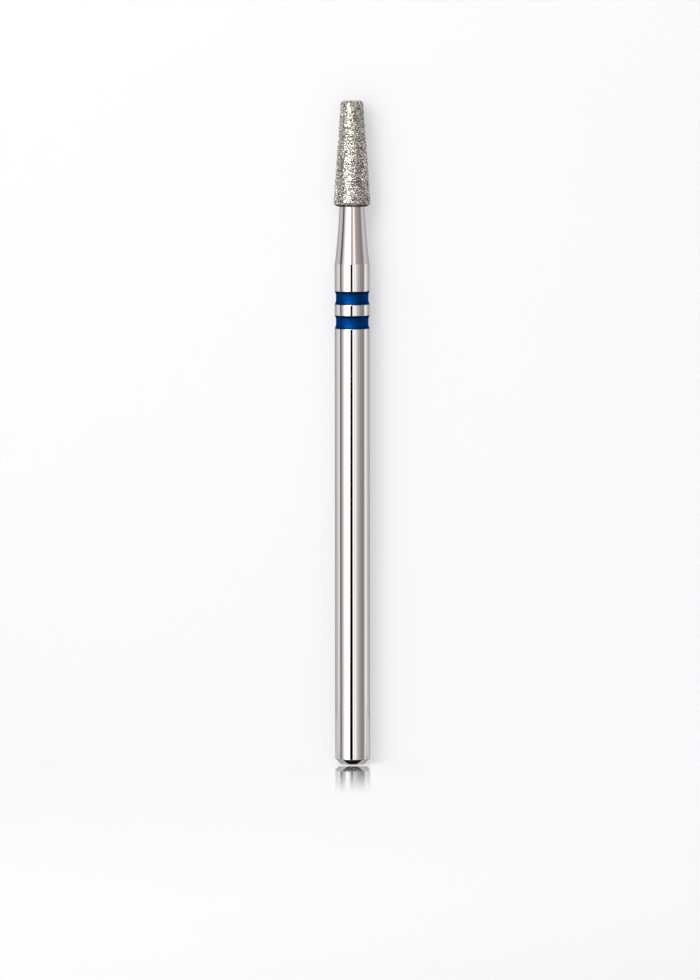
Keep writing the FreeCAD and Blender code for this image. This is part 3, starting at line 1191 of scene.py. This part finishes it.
@dataclass
class Studio:
    """A pale floor, a pale board close behind the bur, the light tent and the camera."""

    background: Colour = (0.955, 0.955, 0.97)
    paper_share: float = 0.33
    board_glow: float = 0.472
    floor_glow: tuple[float, float] = (0.34, 0.569)
    floor_drop: float = 0.05 * MM
    glow_across: float = 0.026
    glow_up: float = 0.029
    board_gap: float = 1.3 * MM
    board_half_width: float = 160 * MM
    board_height: float = 150 * MM
    floor_front: float = 125 * MM
    floor_half_width: float = 60 * MM
    mirror_reach: float = 20 * MM
    mirror_share: float = 0.93
    mirror_side: tuple[float, float] = (1.05 * MM, 1.25 * MM)
    # Glow that glossy rays see on the board, far left, beside the bur and far right: a painted reflection.
    board_reflection_tones: tuple[float, float, float] = (1.12, 0.76, 1.3)
    neck_dimming: float = 0.68
    pad_radius: float = 3 * MM
    pad_pale: float = 0.66
    # Glow of the painted contact shadow that the chamfer mirrors.
    pad_shadow: float = 0.01
    surround: float = 0.45
    sky: float = 0.6
    behind: tuple[float, float] = (1.0, 0.3)
    key_azimuth_deg: float = -20.0
    key_elevation_deg: float = 42.0
    key_distance: float = 190 * MM
    key_half_size: float = 45 * MM
    key_strength: float = 8.5
    aim: tuple[float, float, float] = (-0.16 * MM, 0.0, 18.4 * MM)
    camera_distance: float = 656.5 * MM
    camera_elevation_deg: float = 4.5
    camera_roll_deg: float = -0.06
    tent: LightTent = LightTent()

    def build(self) -> None:
        """Builds the whole studio."""
        self.world()
        self.floor()
        self.board()
        self.pad()
        self.key()
        self.tent.build()
        self.camera()

    def world(self) -> None:
        """A grey surround that lights the bur and shows the background's colour to the camera.

        Behind the board it is bright in the middle and dark at the sides, for the bur's back.
        """
        world = bpy.data.worlds.new("surround")
        world.use_nodes = True
        world.node_tree.nodes.clear()
        shader = Shader(world.node_tree)
        output = shader.add("OutputWorld")
        seen = shader.add("Background")
        shader.feed(seen, Color=(*self.background, 1.0), Strength=1.0)
        lighting = shader.add("Background")
        split = shader.add("SeparateXYZ")
        shader.link(shader.add("TexCoord").outputs["Generated"], split.inputs[0])
        level = shader.ramp(split.outputs["Z"], 0.35, 0.65, self.surround, self.sky)
        behind = shader.ramp(shader.compute("ABSOLUTE", split.outputs["X"]), 0.2, 0.75, *self.behind)
        level = shader.ramp(split.outputs["Y"], 0.0, 0.1, level, behind)
        shader.feed(lighting, Color=(1.0, 0.985, 0.975, 1.0), Strength=level)
        camera = shader.add("LightPath").outputs["Is Camera Ray"]
        shader.link(shader.layer(camera, lighting.outputs[0], seen.outputs[0]), output.inputs["Surface"])
        bpy.context.scene.world = world

    def plate(self, name: str, corners: list[tuple[float, float, float]]) -> bpy.types.Object:
        """A flat staged sheet.

        Args:
            name: name of the object.
            corners: its corners, counterclockwise seen from its face.

        Returns:
            The sheet, linked to the scene.
        """
        mesh = bpy.data.meshes.new(name)
        mesh.from_pydata(corners, [], [tuple(range(len(corners)))])
        sheet = bpy.data.objects.new(name, mesh)
        bpy.context.scene.collection.objects.link(sheet)
        return sheet

    def paper(self, shader: Shader, own: bpy.types.NodeSocket) -> bpy.types.NodeSocket:
        """Backlit paper: part of its tone is its own glow, the rest takes light and shadow.

        Args:
            shader: the material's builder.
            own: strength of the glow in the middle; it grows towards +X, where less light falls.

        Returns:
            The shader socket.
        """
        lit = shader.add("BsdfDiffuse")
        shader.feed(lit, Color=(*(tone * self.paper_share for tone in self.background), 1.0))
        reach, rise = 24 * MM, self.glow_across
        across = shader.ramp(shader.axes()["X"], -reach, reach, -rise, rise, kind="LINEAR")
        glow = shader.add("Emission")
        shader.feed(glow, Color=(*self.background, 1.0), Strength=shader.compute("ADD", own, across))
        both = shader.add("AddShader")
        shader.link(lit.outputs[0], both.inputs[0])
        shader.link(glow.outputs[0], both.inputs[1])
        return both.outputs[0]

    def floor(self) -> None:
        """The pale floor, with a glossy strip before the bur that mirrors the end of its shank.

        The image starts a hair in front of the end and fades along the strip.
        """
        half, front, back, level = self.floor_half_width, self.floor_front, self.board_gap, -self.floor_drop
        corners = [(-half, -front, level), (half, -front, level), (half, back, level), (-half, back, level)]
        sheet = self.plate("floor", corners)
        material, shader, output = new_material("floor_sheet")
        mirror = shader.add("BsdfGlossy")
        shader.feed(mirror, Color=(1.0, 1.0, 1.0, 1.0), Roughness=0.03)
        axes = shader.axes()
        gloss = shader.ramp(axes["Y"], -self.mirror_reach, -1 * MM, 0.0, self.mirror_share)
        gloss = shader.ramp(axes["Y"], -1.7 * MM, -1.3 * MM, gloss, 0.2)
        gloss = shader.ramp(shader.compute("ABSOLUTE", axes["X"]), *self.mirror_side, gloss, 0.0)
        own = shader.ramp(axes["Y"], -150 * MM, 0.0, *self.floor_glow, kind="LINEAR")
        both = shader.layer(gloss, self.paper(shader, own), mirror.outputs[0])
        shader.link(both, output.inputs["Surface"])
        sheet.data.materials.append(material)
        sheet.visible_glossy = False

    def board(self) -> None:
        """The pale board close behind the bur, which takes its soft shadow.

        Glossy rays see a painted reflection in its place: a glow a little darker beside the bur, as painted
        shadow, and brighter far out, but not on the strip that the floor mirrors. Its back lets the camera
        through, so that it hides nothing.
        """
        half, gap, top = self.board_half_width, self.board_gap, self.board_height
        foot = self.tent.foot
        corners = [(-half, gap, foot), (half, gap, foot), (half, gap, top), (-half, gap, top)]
        sheet = self.plate("board", corners)
        material, shader, output = new_material("board_sheet")
        axes = shader.axes()
        # Painted reflection: glossy rays see a glow, darker beside the bur as painted shadow, brighter far
        # out, and dimmer to the sides from the shoulder up.
        far_left, beside, far_right = self.board_reflection_tones
        left = shader.ramp(axes["X"], -9 * MM, -2 * MM, far_left, beside)
        tone = shader.ramp(axes["X"], 3 * MM, 10 * MM, left, far_right)
        aside = shader.compute("ABSOLUTE", axes["X"])
        dimmed = shader.ramp(aside, 3 * MM, 9 * MM, 1.0, self.neck_dimming)
        tone = shader.compute("MULTIPLY", tone, shader.ramp(axes["Z"], 33 * MM, 33.8 * MM, 1.0, dimmed))
        mirrored = shader.add("Emission")
        shader.feed(mirrored, Color=(1.0, 0.99, 1.0, 1.0), Strength=tone)
        glossy = shader.add("LightPath").outputs["Is Glossy Ray"]
        outer = shader.ramp(aside, 23.8 * MM, 24.6 * MM, 0.0, 1.0)
        share = shader.compute("MULTIPLY", glossy, shader.ramp(axes["Z"], 2.3 * MM, 3.3 * MM, outer, 1.0))
        high, low = self.board_glow - self.glow_up, self.board_glow + self.glow_up
        own = shader.ramp(axes["Z"], 0.0, 45 * MM, low, high, kind="LINEAR")
        front = shader.layer(share, self.paper(shader, own), mirrored.outputs[0])
        clear = shader.add("BsdfTransparent").outputs[0]
        behind = shader.add("NewGeometry").outputs["Backfacing"]
        shader.link(shader.layer(behind, front, clear), output.inputs["Surface"])
        sheet.data.materials.append(material)

    def pad(self) -> None:
        """A painted reflection for the shank's chamfer: a glowing disc under the floor that only
        reflections see, pale, with a dark bar under the shank's front edge as painted contact shadow.
        """
        radius, height, corners = self.pad_radius, -self.floor_drop - 0.02 * MM, 24
        ring = []
        for corner in range(corners):
            angle = 2 * math.pi * corner / corners
            ring.append((radius * math.cos(angle), radius * math.sin(angle), height))
        pad = self.plate("pad", ring)
        material, shader, output = new_material("pad_tone")
        along = shader.axes()["Y"]
        # Painted shadow: a dark bar under the front edge of the shank, pale elsewhere, all of it a glow
        # seen only in reflections.
        behind = shader.ramp(along, -0.83 * MM, -0.77 * MM, self.pad_shadow, self.pad_pale)
        glow = shader.add("Emission")
        shader.feed(glow, Strength=shader.ramp(along, -1.36 * MM, -1.26 * MM, self.pad_pale, behind))
        shader.link(glow.outputs[0], output.inputs["Surface"])
        pad.data.materials.append(material)
        pad.visible_camera = False
        pad.visible_diffuse = False
        pad.visible_shadow = False

    def key(self) -> None:
        """The key softbox, high on the left, too high for the shank and neck to mirror."""
        azimuth, elevation = math.radians(self.key_azimuth_deg), math.radians(self.key_elevation_deg)
        level = math.cos(elevation)
        out = Vector((math.sin(azimuth) * level, -math.cos(azimuth) * level, math.sin(elevation)))
        across = Vector((math.cos(azimuth), math.sin(azimuth), 0)) * self.key_half_size
        along = out.cross(across)
        middle = Vector((0, 0, self.tent.change)) + out * self.key_distance
        corners = [middle - across - along, middle + across - along]
        corners += [middle + across + along, middle - across + along]
        sheet = self.plate("key_softbox", [tuple(corner) for corner in corners])
        material, shader, output = new_material("key_glow")
        glow = shader.add("Emission")
        shader.feed(glow, Strength=self.key_strength)
        shader.link(glow.outputs[0], output.inputs["Surface"])
        sheet.data.materials.append(material)
        sheet.visible_camera = False

    def camera(self) -> None:
        """A long lens a little above the bur, framed as the photograph is."""
        elevation = math.radians(self.camera_elevation_deg)
        away = Vector((0, -math.cos(elevation), math.sin(elevation))) * self.camera_distance
        lens = bpy.data.cameras.new("camera")
        lens.sensor_width = 36.0
        lens.lens = 360.0
        lens.clip_start = 0.01
        lens.clip_end = 10.0
        camera = bpy.data.objects.new("camera", lens)
        camera.location = Vector(self.aim) + away
        facing = Euler((math.pi / 2 - elevation, 0, 0)).to_matrix()
        roll = Euler((0, 0, math.radians(self.camera_roll_deg))).to_matrix()
        camera.rotation_euler = (facing @ roll).to_euler()
        bpy.context.scene.collection.objects.link(camera)
        bpy.context.scene.camera = camera


def main() -> None:
    """Builds the bur and its studio."""
    logging.basicConfig(level=logging.INFO, format="%(name)s %(message)s")
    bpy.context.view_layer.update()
    bpy.context.scene.view_settings.view_transform = "Standard"
    head = Head()
    blank = SteelBlank(head)
    blank.build(PolishedSteel())
    enamel = BlueEnamel().material()
    for node in blank.ring_nodes:
        ColourRing(node, blank.shank_radius).build(enamel)
    GritCoat(head).build(NickelBond(), DiamondGrit())
    Studio().build()


if __name__ == "__main__":
    main()
